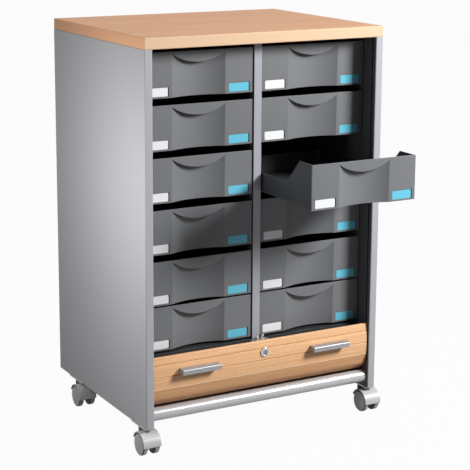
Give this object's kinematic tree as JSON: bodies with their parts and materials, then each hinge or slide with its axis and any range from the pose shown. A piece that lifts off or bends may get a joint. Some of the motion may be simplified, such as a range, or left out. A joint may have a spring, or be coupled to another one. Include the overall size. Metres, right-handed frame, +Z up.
{
  "type": "mobile drawer cart",
  "caption": "Board cabinet on twin-wheel casters with two columns of pull-out paper trays, a lockable slatted roll shutter and a wooden top.",
  "frame": {"origin": "on the floor under the middle of the whole cart as it stands, with its tray open", "axes": "+Z up, +X to the right of someone who faces the trays, +Y from the front to the back"},
  "size_m": [0.626, 0.651, 0.919],
  "materials": {
    "beech": "beech foil, satin",
    "silver_board": "silver grey melamine board, satin",
    "black_plastic": "fine texture, matte",
    "tray_plastic": "moulded, fine texture, satin",
    "tube_metal": "silver lacquer, glossy",
    "handle_metal": "satin anodised",
    "zinc_steel": "zinc plated",
    "chrome": "polished",
    "caster_grey": "moulded, satin gloss",
    "wheel_grey": "moulded, satin gloss"
  },
  "bodies": {
    "cabinet": {"back_panel": "silver_board", "bottom_panel": "silver_board", "caster_plate_front_left": "zinc_steel", "caster_plate_front_right": "zinc_steel", "caster_plate_rear_left": "zinc_steel", "caster_plate_rear_right": "zinc_steel", "divider": "silver_board", "foot_tube": "tube_metal", "inner_back": "black_plastic", "rack_left_inner": "black_plastic", "rack_left_outer": "black_plastic", "rack_right_inner": "black_plastic", "rack_right_outer": "black_plastic", "shutter_curtain": "beech", "shutter_strike": "zinc_steel", "shutter_track_left": "black_plastic", "shutter_track_right": "black_plastic", "side_panel_left": "silver_board", "side_panel_right": "silver_board", "top_panel": "beech", "tray_shelf": "silver_board", "tube_plug_left": "black_plastic", "tube_plug_right": "black_plastic"},
    "tray_left_1": {"tray_left_1": "tray_plastic"},
    "tray_left_2": {"tray_left_2": "tray_plastic"},
    "tray_left_3": {"tray_left_3": "tray_plastic"},
    "tray_left_4": {"tray_left_4": "tray_plastic"},
    "tray_left_5": {"tray_left_5": "tray_plastic"},
    "tray_left_6": {"tray_left_6": "tray_plastic"},
    "tray_right_1": {"tray_right_1": "tray_plastic"},
    "tray_right_2": {"tray_right_2": "tray_plastic"},
    "tray_right_3": {"tray_right_3": "tray_plastic"},
    "tray_right_4": {"tray_right_4": "tray_plastic"},
    "tray_right_5": {"tray_right_5": "tray_plastic"},
    "tray_right_6": {"tray_right_6": "tray_plastic"},
    "shutter": {"shutter_lead": "beech", "handle_left": "handle_metal", "handle_right": "handle_metal", "lock_housing": "chrome", "lock_nut": "zinc_steel", "lock_case": "zinc_steel"},
    "lock_barrel": {"lock_plug": "chrome", "lock_cam": "zinc_steel"},
    "claw_left": {"lock_claw_left": "zinc_steel"},
    "claw_right": {"lock_claw_right": "zinc_steel"},
    "caster_front_left": {"caster_hood_front_left": "caster_grey"},
    "wheel_front_left_left": {"wheel_front_left_left": "wheel_grey"},
    "wheel_front_left_right": {"wheel_front_left_right": "wheel_grey"},
    "caster_front_right": {"caster_hood_front_right": "caster_grey"},
    "wheel_front_right_left": {"wheel_front_right_left": "wheel_grey"},
    "wheel_front_right_right": {"wheel_front_right_right": "wheel_grey"},
    "caster_rear_left": {"caster_hood_rear_left": "caster_grey"},
    "wheel_rear_left_left": {"wheel_rear_left_left": "wheel_grey"},
    "wheel_rear_left_right": {"wheel_rear_left_right": "wheel_grey"},
    "caster_rear_right": {"caster_hood_rear_right": "caster_grey"},
    "wheel_rear_right_left": {"wheel_rear_right_left": "wheel_grey"},
    "wheel_rear_right_right": {"wheel_rear_right_right": "wheel_grey"}
  },
  "joints": [
    {"name": "tray_left_1_slide", "type": "slide", "parent": "cabinet", "child": "tray_left_1", "axis": [0, 1, 0], "range_m": [-0.28, 0]},
    {"name": "tray_left_2_slide", "type": "slide", "parent": "cabinet", "child": "tray_left_2", "axis": [0, 1, 0], "range_m": [-0.28, 0]},
    {"name": "tray_left_3_slide", "type": "slide", "parent": "cabinet", "child": "tray_left_3", "axis": [0, 1, 0], "range_m": [-0.28, 0]},
    {"name": "tray_left_4_slide", "type": "slide", "parent": "cabinet", "child": "tray_left_4", "axis": [0, 1, 0], "range_m": [-0.28, 0]},
    {"name": "tray_left_5_slide", "type": "slide", "parent": "cabinet", "child": "tray_left_5", "axis": [0, 1, 0], "range_m": [-0.28, 0]},
    {"name": "tray_left_6_slide", "type": "slide", "parent": "cabinet", "child": "tray_left_6", "axis": [0, 1, 0], "range_m": [-0.28, 0]},
    {"name": "tray_right_1_slide", "type": "slide", "parent": "cabinet", "child": "tray_right_1", "axis": [0, 1, 0], "range_m": [-0.28, 0]},
    {"name": "tray_right_2_slide", "type": "slide", "parent": "cabinet", "child": "tray_right_2", "axis": [0, 1, 0], "range_m": [-0.28, 0]},
    {"name": "tray_right_3_slide", "type": "slide", "parent": "cabinet", "child": "tray_right_3", "axis": [0, 1, 0], "range_m": [-0.0655, 0.2145]},
    {"name": "tray_right_4_slide", "type": "slide", "parent": "cabinet", "child": "tray_right_4", "axis": [0, 1, 0], "range_m": [-0.28, 0]},
    {"name": "tray_right_5_slide", "type": "slide", "parent": "cabinet", "child": "tray_right_5", "axis": [0, 1, 0], "range_m": [-0.28, 0]},
    {"name": "tray_right_6_slide", "type": "slide", "parent": "cabinet", "child": "tray_right_6", "axis": [0, 1, 0], "range_m": [-0.28, 0]},
    {"name": "shutter_slide", "type": "slide", "parent": "cabinet", "child": "shutter", "axis": [0, 0, 1], "range_m": [0, 0.33]},
    {"name": "lock_turn", "type": "hinge", "parent": "shutter", "child": "lock_barrel", "pos_m": [0, -0.14705, 0.193], "axis": [0, 1, 0], "range_deg": [0, 90]},
    {"name": "claw_left_fold", "type": "hinge", "parent": "shutter", "child": "claw_left", "pos_m": [-0.0065, -0.1344, 0.2069], "axis": [0, 1, 0], "range_deg": [0, 68]},
    {"name": "claw_right_fold", "type": "hinge", "parent": "shutter", "child": "claw_right", "pos_m": [0.0065, -0.1311, 0.2069], "axis": [0, -1, 0], "range_deg": [0, 68]},
    {"name": "caster_front_left_swivel", "type": "hinge", "parent": "cabinet", "child": "caster_front_left", "pos_m": [-0.2905, -0.1175, 0.05374], "axis": [0, 0, 1], "continuous": true},
    {"name": "wheel_front_left_left_spin", "type": "hinge", "parent": "caster_front_left", "child": "wheel_front_left_left", "pos_m": [-0.306, -0.1425, 0.025], "axis": [1, 0, 0], "continuous": true},
    {"name": "wheel_front_left_right_spin", "type": "hinge", "parent": "caster_front_left", "child": "wheel_front_left_right", "pos_m": [-0.275, -0.1425, 0.025], "axis": [1, 0, 0], "continuous": true},
    {"name": "caster_front_right_swivel", "type": "hinge", "parent": "cabinet", "child": "caster_front_right", "pos_m": [0.2905, -0.1175, 0.05374], "axis": [0, 0, 1], "continuous": true},
    {"name": "wheel_front_right_left_spin", "type": "hinge", "parent": "caster_front_right", "child": "wheel_front_right_left", "pos_m": [0.275, -0.1425, 0.025], "axis": [1, 0, 0], "continuous": true},
    {"name": "wheel_front_right_right_spin", "type": "hinge", "parent": "caster_front_right", "child": "wheel_front_right_right", "pos_m": [0.306, -0.1425, 0.025], "axis": [1, 0, 0], "continuous": true},
    {"name": "caster_rear_left_swivel", "type": "hinge", "parent": "cabinet", "child": "caster_rear_left", "pos_m": [-0.2905, 0.2325, 0.05374], "axis": [0, 0, 1], "continuous": true},
    {"name": "wheel_rear_left_left_spin", "type": "hinge", "parent": "caster_rear_left", "child": "wheel_rear_left_left", "pos_m": [-0.306, 0.2075, 0.025], "axis": [1, 0, 0], "continuous": true},
    {"name": "wheel_rear_left_right_spin", "type": "hinge", "parent": "caster_rear_left", "child": "wheel_rear_left_right", "pos_m": [-0.275, 0.2075, 0.025], "axis": [1, 0, 0], "continuous": true},
    {"name": "caster_rear_right_swivel", "type": "hinge", "parent": "cabinet", "child": "caster_rear_right", "pos_m": [0.2905, 0.2325, 0.05374], "axis": [0, 0, 1], "continuous": true},
    {"name": "wheel_rear_right_left_spin", "type": "hinge", "parent": "caster_rear_right", "child": "wheel_rear_right_left", "pos_m": [0.275, 0.2075, 0.025], "axis": [1, 0, 0], "continuous": true},
    {"name": "wheel_rear_right_right_spin", "type": "hinge", "parent": "caster_rear_right", "child": "wheel_rear_right_right", "pos_m": [0.306, 0.2075, 0.025], "axis": [1, 0, 0], "continuous": true}
  ],
  "couplings": [
    {"joint": "claw_left_fold", "follows": "lock_turn", "ratio": 0.744},
    {"joint": "claw_right_fold", "follows": "lock_turn", "ratio": 0.744}
  ]
}
